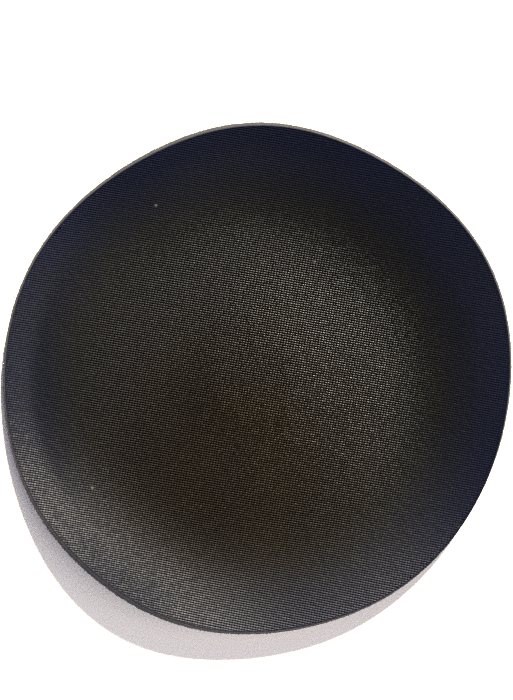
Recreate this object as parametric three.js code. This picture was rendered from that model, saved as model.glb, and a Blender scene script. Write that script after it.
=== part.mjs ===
// A thin, flexible, hook-and-loop polishing disc for a hand-held polisher, lying face up.
//
// It is a bonded stack of five discs, from the bottom up: a loop fabric that grips the machine's
// backing plate, a bond film, a foam core, a second bond film and a woven, coated working face.
// The whole stack is one flexible sheet. Its rim has curled up, higher on some sides than on
// others, so the disc is a shallow, wavy dish. Its middle has sprung up by under a millimetre,
// and flattens again when the disc is pressed onto the machine's plate.
//
// Units are millimetres and degrees. The underside rests on the plane z = 0, which is the face of
// the machine's plate. The origin is on that plane, on the disc's axis. +Z points up out of the
// working face, and angles run anticlockwise from +X.
import * as THREE from "three";

// Driving dimensions.
const CUT_RADIUS = 75;
const CUT_LEAN = 0.08; // how far the cut edge leans inwards for each millimetre of height

// The stack, from the bottom up. The thicknesses add up to 3.2.
const LAYERS = [
  { name: "loop_backing", thickness: 0.9, color: 0x1b1b1d, roughness: 1 },
  { name: "backing_bond_film", thickness: 0.1, color: 0x6d6658, roughness: 0.4 },
  { name: "foam_core", thickness: 1.5, color: 0x3c3d42, roughness: 0.9 },
  { name: "face_bond_film", thickness: 0.1, color: 0x6d6658, roughness: 0.4 },
  { name: "working_face", thickness: 0.6, color: 0x1f1c1a, roughness: 0.6 },
];

// The outline was cut slightly out of round. Each wave goes round the rim a whole number of times,
// and one of its crests is at peak.
const CUT_WAVES = [
  { times: 2, height: 0.9, peak: 47 },
  { times: 3, height: 0.2, peak: 11 },
  { times: 5, height: 0.5, peak: 21 },
  { times: 6, height: 0.2, peak: 26 },
  { times: 7, height: 0.1, peak: 40 },
];

// The sprung middle: the sheet is flat out to one share of the radius, slopes down most steeply at
// the next, and is level again at the last.
const SPRUNG_SINE = 0.05;
const SPRUNG_START = 0.12;
const SPRUNG_FULL = 0.2;
const SPRUNG_END = 0.46;
const SPRUNG_LIFT = (SPRUNG_SINE * CUT_RADIUS * (SPRUNG_END - SPRUNG_START)) / 2;

// The broad curl: how far it lifts the rim, on average and in waves round the rim. It starts at
// a share of the radius that is greatest on one side, and its slope is steady from the next share
// outwards.
const CURL_LIFT = 5.9;
const CURL_WAVES = [
  { times: 1, height: 1.9, peak: -4 },
  { times: 2, height: 3.6, peak: 67 },
  { times: 3, height: 1.35, peak: -1 },
  { times: 5, height: 0.6, peak: 12 },
  { times: 6, height: 0.6, peak: -8 },
];
const CURL_START = 0.46;
const CURL_START_SHIFT = 0.09;
const CURL_START_PEAK = 235;
const CURL_STEADY = 0.85;

// The short turn-up close to the rim, which is strongest on one side and fades away opposite it.
const TURN_LIFT = 2.5;
const TURN_PEAK = 170;
const TURN_START = 0.84;
const TURN_STEADY = 0.95;

// The mesh: sectors round the disc, and rings as shares of the radius.
const SECTORS = 64;
const RING_SHARES = [
  SPRUNG_START, 0.18, 0.25, 0.33, 0.42, 0.52, 0.62, 0.71, 0.78, TURN_START, 0.92, 1,
];
const WALK_STEPS = 200; // steps from the middle to the rim, along the curled underside

function waves(list, angle) {
  return list.reduce((sum, wave) => {
    const turn = THREE.MathUtils.degToRad(angle - wave.peak);
    return sum + wave.height * Math.cos(wave.times * turn);
  }, 0);
}

function cutRadius(angle) {
  return CUT_RADIUS + waves(CUT_WAVES, angle);
}

// The sine of a curl's slope at its steadiest, for the lift that it gives the rim. The slope's
// rise from its start to its steady value is a smooth step, whose mean is a half.
function steadySine(lift, start, steady, radius) {
  const workingShare = (steady - start) / 2 + (1 - steady);
  return lift / (radius * workingShare);
}

function slopeSine(share, angle) {
  const radius = cutRadius(angle);
  const curlLift = CURL_LIFT + waves(CURL_WAVES, angle);
  const halfTurn = THREE.MathUtils.degToRad(angle - TURN_PEAK) / 2;
  const turnLift = TURN_LIFT * Math.cos(halfTurn) ** 4;
  const startTurn = THREE.MathUtils.degToRad(angle - CURL_START_PEAK);
  const curlStart = CURL_START + CURL_START_SHIFT * Math.cos(startTurn);
  const curl = steadySine(curlLift, curlStart, CURL_STEADY, radius);
  const turn = steadySine(turnLift, TURN_START, TURN_STEADY, radius);
  const sprung = (SPRUNG_SINE * CUT_RADIUS) / radius;
  return (
    curl * THREE.MathUtils.smoothstep(share, curlStart, CURL_STEADY) +
    turn * THREE.MathUtils.smoothstep(share, TURN_START, TURN_STEADY) -
    sprung * THREE.MathUtils.smoothstep(share, SPRUNG_START, SPRUNG_FULL) +
    sprung * THREE.MathUtils.smoothstep(share, SPRUNG_FULL, SPRUNG_END)
  );
}

// The point of the disc that is a share of the way out to its cut edge, at a height above its
// underside. The underside keeps its length as it curls, so the rim draws in as it lifts, and
// heights are measured square to the underside.
function discPoint(share, angle, height) {
  const reach = share * (1 - (CUT_LEAN * height) / cutRadius(angle));
  const step = (reach * cutRadius(angle)) / WALK_STEPS;
  let out = 0;
  let up = SPRUNG_LIFT;
  for (let i = 0; i < WALK_STEPS; i++) {
    const sine = slopeSine((reach * (i + 0.5)) / WALK_STEPS, angle);
    out += step * Math.sqrt(1 - sine * sine);
    up += step * sine;
  }
  const sine = slopeSine(reach, angle);
  out -= height * sine;
  up += height * Math.sqrt(1 - sine * sine);
  const turn = THREE.MathUtils.degToRad(angle);
  return new THREE.Vector3(out * Math.cos(turn), out * Math.sin(turn), up);
}

// All the points of the disc at one height: the middle, and then ring after ring outwards.
// Two layers that meet share one such sheet, so their faces match exactly.
function sheetPoints(height) {
  const points = [new THREE.Vector3(0, 0, SPRUNG_LIFT + height)];
  for (const share of RING_SHARES) {
    for (let sector = 0; sector < SECTORS; sector++) {
      points.push(discPoint(share, (360 * sector) / SECTORS, height));
    }
  }
  return points;
}

// The index of a sheet's point. Ring 0 is the middle.
function pointIndex(ring, sector) {
  return ring === 0 ? 0 : 1 + (ring - 1) * SECTORS + (sector % SECTORS);
}

// A sheet's triangles, anticlockwise seen from above.
function sheetTriangles() {
  const triangles = [];
  for (let sector = 0; sector < SECTORS; sector++) {
    triangles.push([0, pointIndex(1, sector), pointIndex(1, sector + 1)]);
    for (let ring = 1; ring < RING_SHARES.length; ring++) {
      const inner = pointIndex(ring, sector);
      const innerNext = pointIndex(ring, sector + 1);
      const outer = pointIndex(ring + 1, sector);
      const outerNext = pointIndex(ring + 1, sector + 1);
      triangles.push([inner, outer, outerNext], [inner, outerNext, innerNext]);
    }
  }
  return triangles;
}

// One closed layer between two sheets.
function layerGeometry(lowSheet, highSheet) {
  const high = lowSheet.length;
  const index = [];
  for (const [a, b, c] of sheetTriangles()) {
    index.push(a, c, b);
    index.push(high + a, high + b, high + c);
  }
  const rim = RING_SHARES.length;
  for (let sector = 0; sector < SECTORS; sector++) {
    const here = pointIndex(rim, sector);
    const next = pointIndex(rim, sector + 1);
    index.push(here, next, high + next);
    index.push(here, high + next, high + here);
  }
  const geometry = new THREE.BufferGeometry();
  geometry.setFromPoints([...lowSheet, ...highSheet]);
  geometry.setIndex(index);
  geometry.computeVertexNormals();
  return geometry;
}

const polishingPad = new THREE.Group();
let height = 0;
let sheet = sheetPoints(height);
for (const layer of LAYERS) {
  height += layer.thickness;
  const nextSheet = sheetPoints(height);
  const material = new THREE.MeshStandardMaterial({
    color: layer.color,
    roughness: layer.roughness,
    metalness: 0,
  });
  const mesh = new THREE.Mesh(layerGeometry(sheet, nextSheet), material);
  mesh.name = layer.name;
  polishingPad.add(mesh);
  sheet = nextSheet;
}

export default polishingPad;
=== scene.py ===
import math

import bpy
import numpy as np
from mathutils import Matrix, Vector, noise


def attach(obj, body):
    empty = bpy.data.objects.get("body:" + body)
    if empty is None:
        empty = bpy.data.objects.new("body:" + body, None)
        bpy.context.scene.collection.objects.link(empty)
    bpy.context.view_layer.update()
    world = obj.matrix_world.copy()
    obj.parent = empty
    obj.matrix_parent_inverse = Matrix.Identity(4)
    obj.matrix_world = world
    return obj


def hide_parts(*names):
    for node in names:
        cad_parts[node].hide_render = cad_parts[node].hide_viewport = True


# A thin hook-and-loop polishing disc, lying face up: woven working face, bond film, foam core,
# bond film and loop backing. Lengths are millimetres until a mesh is made, and then metres.
# Angles are degrees, anticlockwise from +X.
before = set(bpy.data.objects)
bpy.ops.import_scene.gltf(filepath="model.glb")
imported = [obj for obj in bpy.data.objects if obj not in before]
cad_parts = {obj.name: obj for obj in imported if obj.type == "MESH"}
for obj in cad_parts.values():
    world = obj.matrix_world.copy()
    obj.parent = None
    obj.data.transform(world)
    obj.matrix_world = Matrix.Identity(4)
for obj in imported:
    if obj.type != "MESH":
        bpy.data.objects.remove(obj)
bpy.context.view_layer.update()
METRES = 0.001

# ---------------------------------------------------------------- the disc's shape, as in the CAD
CUT_RADIUS = 75
CUT_LEAN = 0.08  # how far the cut edge leans inwards for each millimetre of height
CUT_WAVES = [  # times round, height, peak
    (2, 0.9, 47), (3, 0.2, 11), (5, 0.5, 21), (6, 0.2, 26), (7, 0.1, 40)
]
SPRUNG_SINE = 0.05  # the sprung middle's steepest slope, and where it starts, peaks and ends
SPRUNG_START, SPRUNG_FULL, SPRUNG_END = 0.12, 0.20, 0.46
SPRUNG_LIFT = SPRUNG_SINE * CUT_RADIUS * (SPRUNG_END - SPRUNG_START) / 2
CURL_LIFT = 5.9  # the broad curl's mean lift of the rim
CURL_WAVES = [(1, 1.9, -4), (2, 3.6, 67), (3, 1.35, -1), (5, 0.6, 12), (6, 0.6, -8)]
CURL_START, CURL_START_SHIFT, CURL_START_PEAK = 0.46, 0.09, 235
CURL_STEADY = 0.85
TURN_LIFT, TURN_PEAK = 2.5, 170  # the short turn-up close to the rim
TURN_START, TURN_STEADY = 0.84, 0.95
WALK_STEPS = 60  # steps from the middle out to a point, along the curled underside

# Heights in the stack, above the underside.
BACKING_TOP = 0.9
BACKING_FILM_TOP = 1.0
FOAM_TOP = 2.5
FACE_FILM_TOP = 2.6
FACE_TOP = 3.2


def waves(terms, angle):
    return sum(high * np.cos(times * np.radians(angle - peak)) for times, high, peak in terms)


def cut_radius(angle):
    return CUT_RADIUS + waves(CUT_WAVES, angle)


def smooth_step(value, low, high):
    t = np.clip((value - low) / (high - low), 0, 1)
    return t * t * (3 - 2 * t)


def steady_sine(lift, start, steady, radius):
    """The sine of a curl's slope at its steadiest, for the lift that it gives the rim."""
    return lift / (radius * ((steady - start) / 2 + (1 - steady)))


def slope_sine(share, curl, curl_start, turn, sprung):
    """The sine of the underside's slope, at a share of the way out."""
    slope = curl * smooth_step(share, curl_start, CURL_STEADY)
    slope = slope + turn * smooth_step(share, TURN_START, TURN_STEADY)
    slope = slope - sprung * smooth_step(share, SPRUNG_START, SPRUNG_FULL)
    return slope + sprung * smooth_step(share, SPRUNG_FULL, SPRUNG_END)


def on_disc(share, angle, height):
    """Points of the curled disc, in millimetres, at shares of the way out to its cut edge."""
    radius = cut_radius(angle)
    curl_lift = CURL_LIFT + waves(CURL_WAVES, angle)
    turn_lift = TURN_LIFT * np.cos(np.radians(angle - TURN_PEAK) / 2) ** 4
    curl_start = CURL_START + CURL_START_SHIFT * np.cos(np.radians(angle - CURL_START_PEAK))
    curl = steady_sine(curl_lift, curl_start, CURL_STEADY, radius)
    turn = steady_sine(turn_lift, TURN_START, TURN_STEADY, radius)
    slopes = curl, curl_start, turn, SPRUNG_SINE * CUT_RADIUS / radius
    reach = share * (1 - CUT_LEAN * height / radius)
    step = reach * radius / WALK_STEPS
    out, up = 0.0, SPRUNG_LIFT
    for i in range(WALK_STEPS):
        sine = slope_sine(reach * (i + 0.5) / WALK_STEPS, *slopes)
        out = out + step * np.sqrt(1 - sine * sine)
        up = up + step * sine
    sine = slope_sine(reach, *slopes)
    out = out - height * sine
    up = up + height * np.sqrt(1 - sine * sine)
    bearing = np.radians(angle)
    return np.stack([out * np.cos(bearing), out * np.sin(bearing), up], axis=1)


# ---------------------------------------------------------------- building closed skins
SECTORS = 1440
BEARINGS = np.arange(SECTORS) * 360 / SECTORS
SHOWN_CENTRE = (0.5, 0.5)  # the middle of a piece's visible faces in the bake layout
HIDDEN_CENTRE, HIDDEN_RADIUS = (0.93, 0.93), 0.06  # a bonded face's corner of the bake layout
BONDED_SHARES = [  # of the way out to the cut line, for the rings of a bonded face
    0.06, 0.12, 0.18, 0.25, 0.32, 0.39, 0.45, 0.5, 0.57, 0.64, 0.7, 0.76, 0.82, 0.86, 0.9, 0.94, 0.97
]


class Skin:
    """One closed piece, collected as points of the flat disc and triangles between them.

    Each point has its place before the rim curled, a height in the stack, its radius in the bake
    layout, its place in the weave counted in crossings, and a mark used by the piece's material.
    """

    def __init__(self):
        self.x, self.y, self.height, self.bake, self.u, self.v, self.mark = ([] for _ in range(7))
        self.count = 0
        self.triangles, self.hidden = [], []

    def add(self, x, y, height, bake, u=0.0, v=0.0, mark=0.0):
        x = np.asarray(x, float)
        for store, value in zip(
            (self.x, self.y, self.height, self.bake, self.u, self.v, self.mark),
            (x, y, height, bake, u, v, mark),
        ):
            store.append(np.broadcast_to(np.asarray(value, float), x.shape))
        first = self.count
        self.count += len(x)
        return np.arange(first, self.count)

    def ring(self, inset, height, bake, mark=0.0):
        """A ring of points, so far inside the cut line."""
        radius = cut_radius(BEARINGS) - inset
        bearing = np.radians(BEARINGS)
        x, y = radius * np.cos(bearing), radius * np.sin(bearing)
        return self.add(x, y, height, bake, *to_weave(x, y), mark)

    def cover(self, triangles, hidden=False):
        triangles = np.asarray(triangles).reshape(-1, 3)
        self.triangles.append(triangles)
        self.hidden.append(np.full(len(triangles), hidden))

    def band(self, first, second, hidden=False):
        """Faces between two rings, where the second is the next one out, down or back in."""
        first_next, second_next = np.roll(first, -1), np.roll(second, -1)
        self.cover(np.stack([first, second, second_next], axis=1), hidden)
        self.cover(np.stack([first, second_next, first_next], axis=1), hidden)

    def bonded_face(self, height):
        """A hidden face out from the middle. Returns its outermost ring."""
        middle = self.add([0.0], 0.0, height, 0.0)
        rings = [
            self.ring((1 - share) * cut_radius(BEARINGS), height, 0.0) for share in BONDED_SHARES
        ]
        hub = np.full(SECTORS, middle[0])
        self.cover(np.stack([hub, rings[0], np.roll(rings[0], -1)], axis=1), hidden=True)
        for before, after in zip(rings, rings[1:]):
            self.band(before, after, hidden=True)
        return rings[-1]

    def close_under(self, ring, height):
        """A hidden face from a ring in to the middle, looking the other way."""
        before = ring
        for share in reversed(BONDED_SHARES):
            after = self.ring((1 - share) * cut_radius(BEARINGS), height, 0.0)
            self.band(before, after, hidden=True)
            before = after
        middle = self.add([0.0], 0.0, height, 0.0)
        hub = np.full(SECTORS, middle[0])
        self.cover(np.stack([before, hub, np.roll(before, -1)], axis=1), hidden=True)

    def build(self, name, face_down=False):
        x, y = np.concatenate(self.x), np.concatenate(self.y)
        height = np.concatenate(self.height)
        angle = np.degrees(np.arctan2(y, x))
        share = np.hypot(x, y) / cut_radius(angle)
        points = on_disc(share, angle, height) * METRES
        triangles, hidden = np.concatenate(self.triangles), np.concatenate(self.hidden)
        if face_down:
            triangles = triangles[:, ::-1]
        mesh = bpy.data.meshes.new(name)
        mesh.from_pydata(points, [], triangles)
        mesh.polygons.foreach_set("use_smooth", np.ones(len(triangles), bool))
        corners = triangles.reshape(-1)
        weave = np.stack([np.concatenate(self.u), np.concatenate(self.v)], axis=1)
        mesh.uv_layers.new(name="Weave").uv.foreach_set("vector", weave[corners].reshape(-1))
        mesh.uv_layers.new(name="OFBake").uv.foreach_set(
            "vector", self.bake_layout(angle, share, corners, np.repeat(hidden, 3)).reshape(-1)
        )
        mesh.attributes.new("mark", "FLOAT", "POINT").data.foreach_set(
            "value", np.concatenate(self.mark)
        )
        mesh.update()
        piece = bpy.data.objects.new(name, mesh)
        bpy.context.scene.collection.objects.link(piece)
        return piece

    def bake_layout(self, angle, share, corners, hidden):
        way = np.stack([np.cos(np.radians(angle)), np.sin(np.radians(angle))], axis=1)[corners]
        shown = SHOWN_CENTRE + way * np.concatenate(self.bake)[corners, None]
        tucked = HIDDEN_CENTRE + way * (HIDDEN_RADIUS * share[corners, None])
        return np.where(hidden[:, None], tucked, shown)


# ---------------------------------------------------------------- the woven lattice
WEFT_PITCH, WARP_PITCH = 0.68, 0.78  # row to row, and column to column
WEAVE_PITCH = (WARP_PITCH, WEFT_PITCH)
WEAVE_TURN = -10.2
RIDGE_HEIGHT = 0.13  # of a row's rounded back above the groove beside it
NOTCH_DEPTH = 0.06  # where a yarn dips between two floats of its row
FLAT_FROM, FLAT_TO, FLATNESS = 40.0, 64.0, 0.42  # the rows are pulled flatter on the curled rim
BAKE_RADIUS, BAKED_REACH = 0.497, 77.5  # the widest radius in the bake layout, and its millimetres
BAKE_SCALE = BAKE_RADIUS / BAKED_REACH
LATTICE_REACH = 1.1  # of the cut radius


def to_weave(x, y, pitch=WEAVE_PITCH):
    """Crossings along the rows and across them, for points of the flat disc."""
    turn = math.radians(WEAVE_TURN)
    along = x * math.cos(turn) + y * math.sin(turn)
    across = -x * math.sin(turn) + y * math.cos(turn)
    return along / pitch[0], across / pitch[1]


def from_weave(u, v, pitch=WEAVE_PITCH):
    """Points of the flat disc, for places in the weave."""
    turn = math.radians(WEAVE_TURN)
    along, across = u * pitch[0], v * pitch[1]
    x = along * math.cos(turn) - across * math.sin(turn)
    y = along * math.sin(turn) + across * math.cos(turn)
    return x, y


def lattice(pitch, margin):
    """A sheet of crossings and the gaps between them that fits inside the cut line.

    Returns the points' places in crossings, which are crossings, the triangles and the rim.
    """
    across = int(LATTICE_REACH * CUT_RADIUS / pitch[0])
    along = int(LATTICE_REACH * CUT_RADIUS / pitch[1])
    columns, rows = np.meshgrid(
        np.arange(-across, across + 1), np.arange(-along, along + 1), indexing="ij"
    )
    width, depth = columns.shape
    u = np.concatenate([columns.ravel(), columns[:-1, :-1].ravel() + 0.5])
    v = np.concatenate([rows.ravel(), rows[:-1, :-1].ravel() + 0.5])
    crossing = np.arange(width * depth).reshape(width, depth)
    gap = width * depth + np.arange((width - 1) * (depth - 1)).reshape(width - 1, depth - 1)
    left, right = crossing[:-1, 1:-1], crossing[1:, 1:-1]
    below, above = gap[:, :-1], gap[:, 1:]
    low, high = crossing[1:-1, :-1], crossing[1:-1, 1:]
    west, east = gap[:-1, :], gap[1:, :]
    triangles = np.concatenate([
        np.stack(corner, axis=-1).reshape(-1, 3)
        for corner in (
            (left, below, right), (left, right, above), (low, east, west), (high, west, east)
        )
    ])
    x, y = from_weave(u, v, pitch)
    inside = np.hypot(x, y) < cut_radius(np.degrees(np.arctan2(y, x))) - margin
    triangles = triangles[inside[triangles].all(axis=1)]
    used = np.unique(triangles)
    renumber = np.full(len(u), -1)
    renumber[used] = np.arange(len(used))
    triangles = renumber[triangles]
    return u[used], v[used], used < width * depth, triangles, rim_loop(triangles)


def rim_loop(triangles):
    """The sheet's outer points in order, anticlockwise."""
    size = triangles.max() + 1
    starts = triangles.reshape(-1)
    ends = np.roll(triangles, -1, axis=1).reshape(-1)
    outer = ~np.isin(starts * size + ends, ends * size + starts)
    follow = dict(zip(starts[outer].tolist(), ends[outer].tolist()))
    first = next(iter(follow))
    loop, here = [first], follow[first]
    while here != first:
        loop.append(here)
        here = follow[here]
    return np.array(loop)


def stitch(inner, inner_angle, outer, outer_angle):
    """Triangles between two closed loops that both run anticlockwise."""
    start = int(np.argmin(inner_angle % 360))
    inner, inner_angle = np.roll(inner, -start), np.roll(inner_angle, -start)
    inner_angle = np.degrees(np.unwrap(np.radians(inner_angle % 360)))
    inner_angle = np.append(inner_angle, inner_angle[0] + 360)
    outer_angle = np.append(outer_angle, outer_angle[0] + 360)
    inner, outer = np.append(inner, inner[0]), np.append(outer, outer[0])
    triangles, i, j = [], 0, 0
    while i < len(inner) - 1 or j < len(outer) - 1:
        outer_done = j == len(outer) - 1
        inner_next = i < len(inner) - 1 and (outer_done or inner_angle[i + 1] <= outer_angle[j + 1])
        if inner_next:
            triangles.append((inner[i + 1], inner[i], outer[j]))
            i += 1
        else:
            triangles.append((inner[i], outer[j], outer[j + 1]))
            j += 1
    return triangles


def finish_edge(skin, rim, x, y, rings, height):
    """Joins a sheet's rim to the rings of its cut edge, and closes the hidden face after them."""
    skin.cover(stitch(rim, np.degrees(np.arctan2(y, x)), rings[0], BEARINGS))
    for before, after in zip(rings, rings[1:]):
        skin.band(before, after)
    skin.close_under(rings[-1], height)


def soft_noise(x, y, size, seed=0.0):
    """Smooth noise from -1 to 1 over the flat disc, with features of about that size."""
    return np.array([noise.noise(Vector((a / size, b / size, seed))) for a, b in zip(x, y)])


def rim_places(size):
    """Points round the cut edge, in units of that size."""
    bearing = np.radians(BEARINGS)
    return np.cos(bearing) * CUT_RADIUS / size, np.sin(bearing) * CUT_RADIUS / size


def rim_noise(size, seed=0.0):
    """Smooth noise from -1 to 1 round the cut edge, with features of about that size."""
    return np.array([noise.noise(Vector((a, b, seed))) for a, b in zip(*rim_places(size))])


# ---------------------------------------------------------------- the woven working face
WEAVE_MARGIN = 0.42  # from the cut line in to the outermost floats
FLOAT_STRAY, GROOVE_STRAY = 0.12, 0.02  # a share of a ridge's height, and millimetres
SWELL, SWELL_SIZE = 0.05, 16.0  # the cloth's slight unevenness, up and across
FRAY, FRAY_SIZE = 0.05, 1.3  # how far the cut line strays, and over what length
FACE_EDGE = [  # inset, height above the cloth's underside, bake length past the rim, mark
    (0.22, 0.57, 0.0, 0.7),
    (0.11, 0.53, 0.2, 0.2),
    (0.03, 0.44, 0.4, 0.0),
    (0.0, 0.25, 0.6, 0.0),
    (0.02, 0.0, 0.8, 0.0),
]


def make_working_face():
    """Ribbed cloth. Its mark is 1 on whole floats and falls to 0 on cut yarn."""
    skin = Skin()
    u, v, is_crossing, triangles, rim = lattice(WEAVE_PITCH, WEAVE_MARGIN)
    x, y = from_weave(u, v)
    rng = np.random.default_rng(7)
    pulled = 1 - (1 - FLATNESS) * smooth_step(np.hypot(x, y), FLAT_FROM, FLAT_TO)
    crest = RIDGE_HEIGHT * pulled * (1 + FLOAT_STRAY * rng.standard_normal(len(u)))
    groove = GROOVE_STRAY * rng.standard_normal(len(u))
    swell = SWELL * soft_noise(x, y, SWELL_SIZE)
    height = FACE_TOP - RIDGE_HEIGHT + np.where(is_crossing, crest, groove) + swell
    sheet = skin.add(x, y, height, np.hypot(x, y) * BAKE_SCALE, u, v, 1.0)
    skin.cover(triangles)
    fray = FRAY * rim_noise(FRAY_SIZE)
    rings = []
    for inset, rise, past, mark in FACE_EDGE:
        bake = (cut_radius(BEARINGS) - inset + past) * BAKE_SCALE
        rings.append(skin.ring(inset + fray, FACE_FILM_TOP + rise, bake, mark))
    finish_edge(skin, sheet[rim], x[rim], y[rim], rings, FACE_FILM_TOP)
    return skin.build("woven_face")


# ---------------------------------------------------------------- the foam and the films
EDGE_BAKE_START, EDGE_BAKE_REACH = 0.2, 0.28  # radii in the bake layout, for a layer's cut edge
FOAM_CELL = 0.42
FOAM_ROWS = 13
FOAM_HOLLOW = 0.10  # how far the middle of the cut edge stands in
PORE_DEPTH = 0.09
PORE_REACH, PORE_ROUNDNESS = 0.42, 0.7  # a pore's radius in cells, and the power of its fall
PORE_FADE = 6  # the pores fade in over the edge's top and bottom sixths
FILM_INSET, FILM_STRAY, FILM_STRAY_SIZE = 0.02, 0.07, 2.2
FILM_TUCK = 0.10  # how far a film's faces stop short of its bead
BEAD_CORNER, BEAD_STEP = 0.02, 0.01  # inset and depth of the bead's rounded corners


def make_layer(name, low, high, profile):
    """A plain layer whose faces are bonded, with a cut edge that runs down a profile.

    Each row of the profile is an inset, a height and a mark.
    """
    skin = Skin()
    before = skin.bonded_face(high)
    for i, (inset, rise, mark) in enumerate(profile):
        bake = EDGE_BAKE_START + EDGE_BAKE_REACH * i / (len(profile) - 1)
        after = skin.ring(inset, rise, bake, mark)
        skin.band(before, after, hidden=i == 0)
        before = after
    skin.close_under(before, low)
    return skin.build(name)


def make_foam():
    """Foam rubber, whose cells are cut open all round the edge. Its mark is 1 deep in a pore."""
    across, along = rim_places(FOAM_CELL)
    profile = []
    for row in range(FOAM_ROWS):
        share = row / (FOAM_ROWS - 1)
        rise = FOAM_TOP - share * (FOAM_TOP - BACKING_FILM_TOP)
        hollow = FOAM_HOLLOW * math.sin(math.pi * share)
        near = np.array([
            noise.voronoi(Vector((a, b, rise / FOAM_CELL)))[0][0] for a, b in zip(across, along)
        ])
        pore = np.clip(1 - near / PORE_REACH, 0, 1) ** PORE_ROUNDNESS
        fade = min(1.0, PORE_FADE * share, PORE_FADE * (1 - share))
        profile.append((hollow + PORE_DEPTH * pore * fade, rise, pore))
    return make_layer("foam_layer", BACKING_FILM_TOP, FOAM_TOP, profile)


def make_film(name, low, high, seed):
    """Adhesive, squeezed out a little here and starved a little there."""
    bead = FILM_INSET - FILM_STRAY * rim_noise(FILM_STRAY_SIZE, seed)
    profile = [
        (bead + FILM_TUCK, high, 0.0),
        (bead + BEAD_CORNER, high - BEAD_STEP, 0.0),
        (bead, (low + high) / 2, 0.0),
        (bead + BEAD_CORNER, low + BEAD_STEP, 0.0),
        (bead + FILM_TUCK, low, 0.0),
    ]
    return make_layer(name, low, high, profile)


# ---------------------------------------------------------------- the loop backing
PILE_PITCH = (0.74, 0.74)
PILE_MARGIN = 0.6  # from the cut line in to the outermost tufts
TIP_HEIGHT, GAP_HEIGHT, PILE_LIMIT = 0.05, 0.36, 0.5  # above the plane that the disc rests on
PILE_STRAY, PILE_DRIFT = 0.07, 0.09  # how far the tufts stray up and down, and sideways
PILE_SWELL, PILE_SWELL_SIZE, PILE_SEED = 0.05, 5.0, 3.0
FUZZ_START, FUZZ_KEPT, FUZZ_NEW = 0.08, 0.6, 0.06  # the cut edge's fuzz, from ring to ring
FUZZ_SLANT = 3  # sectors that the fuzz moves round from ring to ring
FUZZ_RISE = 0.3
PILE_EDGE = [  # inset, height, bake length past the rim, mark
    (0.3, 0.12, 0.0, 0.8),
    (0.05, 0.2, 0.2, 0.6),
    (0.0, 0.45, 0.4, 0.5),
    (0.03, 0.7, 0.6, 0.4),
    (0.06, BACKING_TOP, 0.8, 0.3),
]


def make_loop_backing():
    """Loop fabric: a brushed, uneven pile that hangs down. Its mark is 1 at the tips."""
    skin = Skin()
    u, v, is_crossing, triangles, rim = lattice(PILE_PITCH, PILE_MARGIN)
    rng = np.random.default_rng(11)
    x, y = from_weave(u, v, PILE_PITCH)
    tuft = np.where(is_crossing, TIP_HEIGHT, GAP_HEIGHT) + PILE_STRAY * rng.standard_normal(len(u))
    tuft = tuft + PILE_SWELL * soft_noise(x, y, PILE_SWELL_SIZE, PILE_SEED)
    tuft = np.clip(tuft, 0.0, PILE_LIMIT)
    x = x + PILE_DRIFT * rng.standard_normal(len(u))
    y = y + PILE_DRIFT * rng.standard_normal(len(u))
    sheet = skin.add(x, y, tuft, np.hypot(x, y) * BAKE_SCALE, u, v, 1 - 2 * tuft)
    skin.cover(triangles)
    fuzz = FUZZ_START * rng.standard_normal(SECTORS)
    rings = []
    for inset, rise, past, mark in PILE_EDGE:
        bake = (cut_radius(BEARINGS) - inset + past) * BAKE_SCALE
        fuzz = FUZZ_KEPT * np.roll(fuzz, FUZZ_SLANT) + FUZZ_NEW * rng.standard_normal(SECTORS)
        ruffled = rise + FUZZ_RISE * fuzz * (rise < BACKING_TOP)
        rings.append(skin.ring(inset + fuzz, ruffled, bake, mark))
    finish_edge(skin, sheet[rim], x[rim], y[rim], rings, BACKING_TOP)
    return skin.build("loop_fabric", face_down=True)


# ---------------------------------------------------------------- materials
NOISE_LOW, NOISE_HIGH = 0.3, 0.7  # nearly all of a noise lies between these
PATCH_LOW, PATCH_HIGH = 0.35, 0.65  # for a noise whose patches have firmer edges


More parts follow.
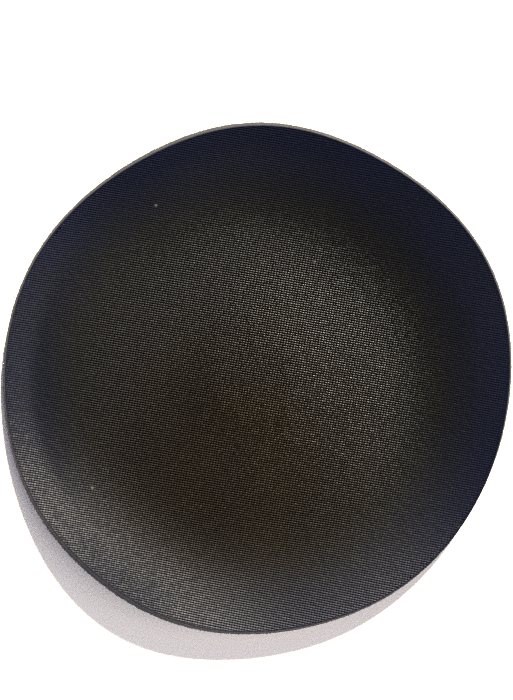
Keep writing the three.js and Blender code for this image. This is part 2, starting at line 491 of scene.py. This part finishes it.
class Shader:
    """A node material, built with short calls that return sockets."""

    def __init__(self, name):
        self.material = bpy.data.materials.new(name)
        self.material.use_nodes = True
        self.tree = self.material.node_tree
        self.surface = self.tree.nodes["Principled BSDF"]

    def node(self, kind, **settings):
        made = self.tree.nodes.new("ShaderNode" + kind)
        for key, value in settings.items():
            setattr(made, key, value)
        return made

    def put(self, socket, value):
        if isinstance(value, bpy.types.NodeSocket):
            self.tree.links.new(value, socket)
        else:
            socket.default_value = value

    def math(self, operation, *values):
        made = self.node("Math", operation=operation)
        for socket, value in zip(made.inputs, values):
            self.put(socket, value)
        return made.outputs[0]

    def product(self, first, *others):
        for other in others:
            first = self.math("MULTIPLY", first, other)
        return first

    def parts(self, vector):
        made = self.node("SeparateXYZ")
        self.put(made.inputs[0], vector)
        return made.outputs[0], made.outputs[1], made.outputs[2]

    def mix(self, share, first, second):
        made = self.node("Mix", data_type="RGBA")
        for name, value in (("Factor", share), ("A", first), ("B", second)):
            socket = next(s for s in made.inputs if s.name == name and s.enabled)
            self.put(socket, value)
        return next(s for s in made.outputs if s.enabled)

    def span(self, value, low, high, to_low, to_high, kind="LINEAR"):
        made = self.node("MapRange", interpolation_type=kind)
        for socket, number in zip(made.inputs, (value, low, high, to_low, to_high)):
            self.put(socket, number)
        return made.outputs[0]

    def noise(self, vector, scale, detail=3.0, roughness=0.6):
        made = self.node("TexNoise")
        self.put(made.inputs["Vector"], vector)
        for name, value in (("Scale", scale), ("Detail", detail), ("Roughness", roughness)):
            made.inputs[name].default_value = value
        return made.outputs["Fac"]

    def place(self):
        return self.node("TexCoord").outputs["Object"]

    def away_from(self, spot, near, far, at_near, at_far):
        """A value that changes smoothly with distance from a spot on the disc."""
        apart = self.node("VectorMath", operation="DISTANCE")
        self.put(apart.inputs[0], self.place())
        apart.inputs[1].default_value = [METRES * length for length in spot]
        distance = apart.outputs["Value"]
        return self.span(distance, near * METRES, far * METRES, at_near, at_far, "SMOOTHSTEP")

    def attribute(self, name):
        return self.node("Attribute", attribute_name=name).outputs["Fac"]

    def bump(self, height, distance, strength=1.0):
        made = self.node("Bump")
        self.put(made.inputs["Height"], height)
        self.put(made.inputs["Distance"], distance)
        self.put(made.inputs["Strength"], strength)
        self.put(self.surface.inputs["Normal"], made.outputs[0])

    def finish(self, **inputs):
        for name, value in inputs.items():
            self.put(self.surface.inputs[name.replace("_", " ")], value)
        return self.material


MIDDLE = (0, 0, 0)
GLOSSY_PLACE = (15, 6, 0)  # the coating is glossiest round here
GLOSSY_FROM, GLOSSY_TO = 16, 60
GLOSSY, SATIN = 0.28, 0.47  # its roughness there, and far away
BROWN_PLACE = (-5, -24, 0)  # painted warm light: the base colour is brown round here, and the shine lower
BROWN_FROM, BROWN_TO = 12, 56
BLUE_FROM, BLUE_TO = 48, 74  # painted reflection of the blue sky: the base colour turns blue-black over these distances from the middle

COAT_SHINE = 0.22  # the specular level of the coating, away from the painted brown
BROWN_SHARE, RIM_SHARE = 0.45, 1.25  # of that shine, in the painted brown and on the rim
DEEP_GROOVE, SHALLOW_GROOVE = 0.01, 0.2  # of the shine, in the grooves of the middle and the rim
CREST_FROM, CREST_TO = 0.65, 0.25  # a crest's shine starts and is whole so many ridges below its top
DULL, DULL_TO = 0.9, 0.3  # the roughness of the deep grooves, and the crest's shine where it ends
GLINT_LEAST, GLINT_MOST = 0.6, 1.1  # of the shine, from float to float
SPARKLE_FROM, SPARKLE = 0.46, 1.6  # a few floats, above this chance, shine so much more
CUT_SHINE = 0.1  # of the shine, on cut yarn
ROUGHNESS_SPREAD = 0.04  # from float to float, either way
LEAN = 0.08  # the most that a float's slope strays from true
GRAIN_SCALE, GRAIN_DEPTH = 6.0, 0.02  # features to a crossing, and millimetres
WEAR_SCALE = 40.0  # features to a metre, as for the other pieces below
WORN_LEAST, WORN_MOST = 0.75, 1.1
CUT_FROM, CUT_COLOUR_TO = 0.2, 0.6  # marks where cut yarn starts to shine, and has its full colour

LINT, PALE = 0.00008, (0.05, 0.05, 0.045, 1)  # the share of floats with lint, and its colour
CUT_YARN = (0.020, 0.021, 0.026, 1)
# painted warm light on the lower middle, as a brown base colour
PAINTED_WARM_BROWN = (0.0080, 0.0047, 0.0012, 1)
BLACK = (0.0030, 0.0026, 0.0012, 1)
# painted reflection of the blue sky on the rim
SKY_REFLECTION_BLUE = (0.0001, 0.0012, 0.0090, 1)
# painted shade in the grooves between the floats
GROOVE_SHADE = (0.0004, 0.0004, 0.0005, 1)


def float_fall(shader, u, v):
    """How far the cloth falls away from a float's crest, beside it and at its two ends.

    Each fall is whole at half a crossing, where the square is 1/4 and the fourth power is 1/16.
    """
    side = shader.math("POWER", shader.math("PINGPONG", v, 0.5), 2.0)
    end = shader.math("POWER", shader.math("PINGPONG", u, 0.5), 4.0)
    back = shader.math("MULTIPLY", side, -4 * RIDGE_HEIGHT)
    dip = shader.math("MULTIPLY", end, -16 * NOTCH_DEPTH)
    return shader.math("ADD", back, dip)


def float_chances(shader, uv):
    """Four random values from 0 to 1, each the same all over one float."""
    shifted = shader.node("VectorMath", operation="ADD")
    shader.put(shifted.inputs[0], uv)
    shifted.inputs[1].default_value = (0.5, 0.5, 0.5)
    cell = shader.node("VectorMath", operation="FLOOR")
    shader.put(cell.inputs[0], shifted.outputs[0])
    random = shader.node("TexWhiteNoise", noise_dimensions="2D")
    shader.put(random.inputs["Vector"], cell.outputs[0])
    return random.outputs["Value"], *shader.parts(random.outputs["Color"])


def lean(shader, coordinate, chance, pitch):
    """Each float lies a little out of true."""
    across = shader.math("FRACT", shader.math("ADD", coordinate, 0.5))
    across = shader.math("SUBTRACT", across, 0.5)
    slope = shader.span(chance, 0.0, 1.0, -LEAN * pitch, LEAN * pitch)
    return shader.math("MULTIPLY", across, slope)


def coated_weave():
    shader = Shader("coated_weave")
    uv = shader.node("UVMap", uv_map="Weave").outputs[0]
    u, v, _ = shader.parts(uv)
    woven = shader.attribute("mark")
    relief = shader.math("MULTIPLY", float_fall(shader, u, v), woven)
    chance, chance_along, chance_across, chance_lint = float_chances(shader, uv)
    leans = shader.math(
        "ADD",
        lean(shader, u, chance_along, WARP_PITCH),
        lean(shader, v, chance_across, WEFT_PITCH),
    )

    pulled = shader.away_from(MIDDLE, FLAT_FROM, FLAT_TO, 1.0, FLATNESS)
    # painted warm light: 0 at the brown place, rising to 1 far from it
    away_from_painted_brown = shader.away_from(BROWN_PLACE, BROWN_FROM, BROWN_TO, 0.0, 1.0)
    # painted sky reflection in the rim's base colour; the same mask raises the rim's shine
    outer = shader.away_from(MIDDLE, BLUE_FROM, BLUE_TO, 0.0, 1.0)
    gloss = shader.away_from(GLOSSY_PLACE, GLOSSY_FROM, GLOSSY_TO, GLOSSY, SATIN)

    crest = shader.span(relief, -CREST_FROM * RIDGE_HEIGHT, -CREST_TO * RIDGE_HEIGHT, 0.0, 1.0)
    groove = shader.span(pulled, 1.0, FLATNESS, DEEP_GROOVE, SHALLOW_GROOVE)
    crest = shader.math("MAXIMUM", crest, groove)
    stray = shader.math("MULTIPLY", shader.math("SUBTRACT", chance, 0.5), pulled)
    glint = shader.product(
        crest,
        shader.span(stray, -0.5, 0.5, GLINT_LEAST, GLINT_MOST),
        shader.span(away_from_painted_brown, 0.0, 1.0, BROWN_SHARE, 1.0),
        shader.span(stray, SPARKLE_FROM, 0.5, 1.0, SPARKLE),
        shader.span(woven, CUT_FROM, 1.0, CUT_SHINE, 1.0),
        shader.span(outer, 0.0, 1.0, 1.0, RIM_SHARE),
        COAT_SHINE,
    )

    patch = shader.noise(shader.place(), WEAR_SCALE, detail=4.0)
    tone = shader.mix(outer, shader.mix(away_from_painted_brown, PAINTED_WARM_BROWN, BLACK), SKY_REFLECTION_BLUE)
    worn = shader.span(patch, PATCH_LOW, PATCH_HIGH, WORN_LEAST, WORN_MOST)
    # Painted shade: the grooves are near black, while the crests take the coating's tone, varied at
    # random by wear.
    colour = shader.mix(shader.math("MULTIPLY", crest, worn), GROOVE_SHADE, tone)
    colour = shader.mix(shader.math("GREATER_THAN", chance_lint, 1 - LINT), colour, PALE)
    colour = shader.mix(shader.span(woven, 0.0, CUT_COLOUR_TO, 1.0, 0.0), colour, CUT_YARN)

    spread = shader.span(chance, 0.0, 1.0, ROUGHNESS_SPREAD, -ROUGHNESS_SPREAD)
    roughness = shader.math("ADD", gloss, spread)
    roughness = shader.math("MAXIMUM", roughness, shader.span(crest, 0.0, DULL_TO, DULL, 0.0))

    grain = shader.math("MULTIPLY", shader.noise(uv, GRAIN_SCALE, detail=2.0), GRAIN_DEPTH)
    raised = shader.math("ADD", relief, grain)
    raised = shader.math("ADD", raised, shader.math("MULTIPLY", leans, woven))
    shader.bump(shader.math("MULTIPLY", raised, pulled), METRES)
    return shader.finish(Base_Color=colour, Roughness=roughness, Specular_IOR_Level=glint)


FOAM_SKIN = (0.020, 0.022, 0.027, 1)
# painted shade deep in the open pores
FOAM_PORE_SHADE = (0.005, 0.006, 0.007, 1)
FOAM_SPECK = (0.014, 0.015, 0.019, 1)
FOAM_SCALE, FOAM_BUMP = 2500.0, 0.00004  # features to a metre, and their height in metres


def foam_rubber():
    shader = Shader("foam")
    fine = shader.noise(shader.place(), FOAM_SCALE)
    # Painted shade: the base colour darkens deep in each pore.
    colour = shader.mix(shader.attribute("mark"), FOAM_SKIN, FOAM_PORE_SHADE)
    speck = shader.span(fine, NOISE_LOW, NOISE_HIGH, 0.0, 0.5)
    shader.bump(fine, FOAM_BUMP)
    return shader.finish(
        Base_Color=shader.mix(speck, colour, FOAM_SPECK),
        Roughness=shader.span(fine, NOISE_LOW, NOISE_HIGH, 0.75, 0.95),
    )


FILM_DARK = (0.010, 0.010, 0.010, 1)
FILM_PALE = (0.026, 0.026, 0.026, 1)
FILM_SCALE, FILM_BUMP = 300.0, 0.00005


def bond_film():
    shader = Shader("bond_film")
    cloud = shader.noise(shader.place(), FILM_SCALE)
    shader.bump(cloud, FILM_BUMP)
    return shader.finish(
        Base_Color=shader.mix(cloud, FILM_DARK, FILM_PALE),
        Roughness=shader.span(cloud, NOISE_LOW, NOISE_HIGH, 0.3, 0.55),
    )


# painted shade at the pile's roots, lighter at its tips
PILE_ROOT_SHADE = (0.010, 0.010, 0.011, 1)
PILE_TIP = (0.045, 0.045, 0.048, 1)
PILE_WORN = (0.028, 0.028, 0.032, 1)
PILE_SHEEN = (0.8, 0.82, 0.9, 1)
FIBRE_SCALE, FIBRE_BUMP = 1800.0, 0.00015
CLOUD_SCALE = 90.0


def loop_pile():
    shader = Shader("loop_fabric")
    place = shader.place()
    fibre = shader.noise(place, FIBRE_SCALE, detail=4.0, roughness=0.7)
    cloud = shader.noise(place, CLOUD_SCALE)
    # Painted shade: the pile darkens from its tips down to its roots.
    colour = shader.mix(shader.attribute("mark"), PILE_ROOT_SHADE, PILE_TIP)
    worn = shader.span(cloud, PATCH_LOW, PATCH_HIGH, 0.0, 0.4)
    shader.bump(fibre, FIBRE_BUMP)
    return shader.finish(
        Base_Color=shader.mix(worn, colour, PILE_WORN),
        Roughness=shader.span(fibre, NOISE_LOW, NOISE_HIGH, 0.8, 1.0),
        Sheen_Weight=0.3,
        Sheen_Roughness=0.5,
        Sheen_Tint=PILE_SHEEN,
    )


# ---------------------------------------------------------------- the object
def dress(piece, material, node):
    piece.data.materials.append(material)
    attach(piece, "root")
    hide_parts(node)


face = make_working_face()
dress(face, coated_weave(), "working_face")

foam = make_foam()
dress(foam, foam_rubber(), "foam_core")

film = bond_film()
face_film = make_film("face_adhesive", FOAM_TOP, FACE_FILM_TOP, 1.5)
dress(face_film, film, "face_bond_film")
backing_film = make_film("backing_adhesive", BACKING_TOP, BACKING_FILM_TOP, 8.5)
dress(backing_film, film, "backing_bond_film")

backing = make_loop_backing()
dress(backing, loop_pile(), "loop_backing")


# ---------------------------------------------------------------- floor, light and camera
FLOOR_HALF = 4.0
FLOOR_COLOUR = (0.90, 0.80, 0.62, 1)


def make_floor():
    mesh = bpy.data.meshes.new("floor")
    corners = [(-1, -1), (1, -1), (1, 1), (-1, 1)]
    mesh.from_pydata([(FLOOR_HALF * x, FLOOR_HALF * y, 0) for x, y in corners], [], [(0, 1, 2, 3)])
    floor = bpy.data.objects.new("floor", mesh)
    bpy.context.scene.collection.objects.link(floor)
    mesh.materials.append(Shader("floor").finish(Base_Color=FLOOR_COLOUR, Roughness=0.9))


LAMPS = [  # name, bearing, height, strength, width and colour
    ("sun", 68, 42, 12.0, 3.0, (1.0, 0.90, 0.71)),
    ("fill", 185, 24, 0.6, 40.0, (1.0, 0.90, 0.92)),
]
SKY = [  # sine of the height above the horizon, colour
    (0.05, (1.6, 1.4, 1.3)),
    (0.24, (0.6, 0.55, 0.65)),
    (0.52, (0.03, 0.20, 0.80)),
    (0.88, (0.02, 0.02, 0.03)),
]
GLOW = (3.8, 3.8, 4.2)  # a bright side of the sky
GLOW_BEARING, GLOW_HEIGHT = 345, 52
GLOW_EDGE = 0.8  # cosine of the angle from its middle to where it has faded away


def direction(bearing, rise):
    bearing, rise = math.radians(bearing), math.radians(rise)
    flat = math.cos(rise)
    return Vector((flat * math.cos(bearing), flat * math.sin(bearing), math.sin(rise)))


def make_lamps():
    for name, bearing, rise, strength, width, colour in LAMPS:
        lamp = bpy.data.lights.new(name, "SUN")
        lamp.energy = strength
        lamp.angle = math.radians(width)
        lamp.color = colour
        light = bpy.data.objects.new(name, lamp)
        light.rotation_euler = direction(bearing, rise).to_track_quat("Z", "Y").to_euler()
        bpy.context.scene.collection.objects.link(light)


def make_sky():
    world = bpy.data.worlds.new("sky")
    bpy.context.scene.world = world
    world.use_nodes = True
    nodes, link = world.node_tree.nodes, world.node_tree.links.new
    place = nodes.new("ShaderNodeTexCoord").outputs["Generated"]

    parts = nodes.new("ShaderNodeSeparateXYZ")
    link(place, parts.inputs[0])
    ramp = nodes.new("ShaderNodeValToRGB")
    link(parts.outputs["Z"], ramp.inputs[0])
    stops = ramp.color_ramp.elements
    while len(stops) < len(SKY):
        stops.new(0.5)
    for stop, (level, colour) in zip(stops, SKY):
        stop.position = level
        stop.color = (*colour, 1)

    near_glow = nodes.new("ShaderNodeVectorMath")
    near_glow.operation = "DOT_PRODUCT"
    link(place, near_glow.inputs[0])
    near_glow.inputs[1].default_value = direction(GLOW_BEARING, GLOW_HEIGHT)
    spread = nodes.new("ShaderNodeMapRange")
    spread.interpolation_type = "SMOOTHSTEP"
    link(near_glow.outputs["Value"], spread.inputs["Value"])
    spread.inputs["From Min"].default_value = GLOW_EDGE
    glow = nodes.new("ShaderNodeVectorMath")
    glow.operation = "SCALE"
    glow.inputs[0].default_value = GLOW
    link(spread.outputs[0], glow.inputs["Scale"])

    total = nodes.new("ShaderNodeVectorMath")
    link(ramp.outputs[0], total.inputs[0])
    link(glow.outputs[0], total.inputs[1])
    link(total.outputs[0], nodes["Background"].inputs["Color"])


CAMERA_PLACE = (0.00019, 0.00872, 0.350)  # in metres; it looks straight down
CAMERA_LENS, SENSOR_WIDTH = 83.06, 36.0
FILTER_WIDTH = 1.2  # pixels


def make_camera():
    data = bpy.data.cameras.new("camera")
    data.sensor_fit = "HORIZONTAL"
    data.sensor_width = SENSOR_WIDTH
    data.lens = CAMERA_LENS
    data.clip_start = 0.01
    camera = bpy.data.objects.new("camera", data)
    camera.location = CAMERA_PLACE
    bpy.context.scene.collection.objects.link(camera)
    bpy.context.scene.camera = camera


make_floor()
make_lamps()
make_sky()
make_camera()
bpy.context.scene.view_settings.view_transform = "Standard"
# The denoiser takes the fine weave for noise and smooths it away.
bpy.context.scene.cycles.use_denoising = False
bpy.context.scene.cycles.filter_width = FILTER_WIDTH
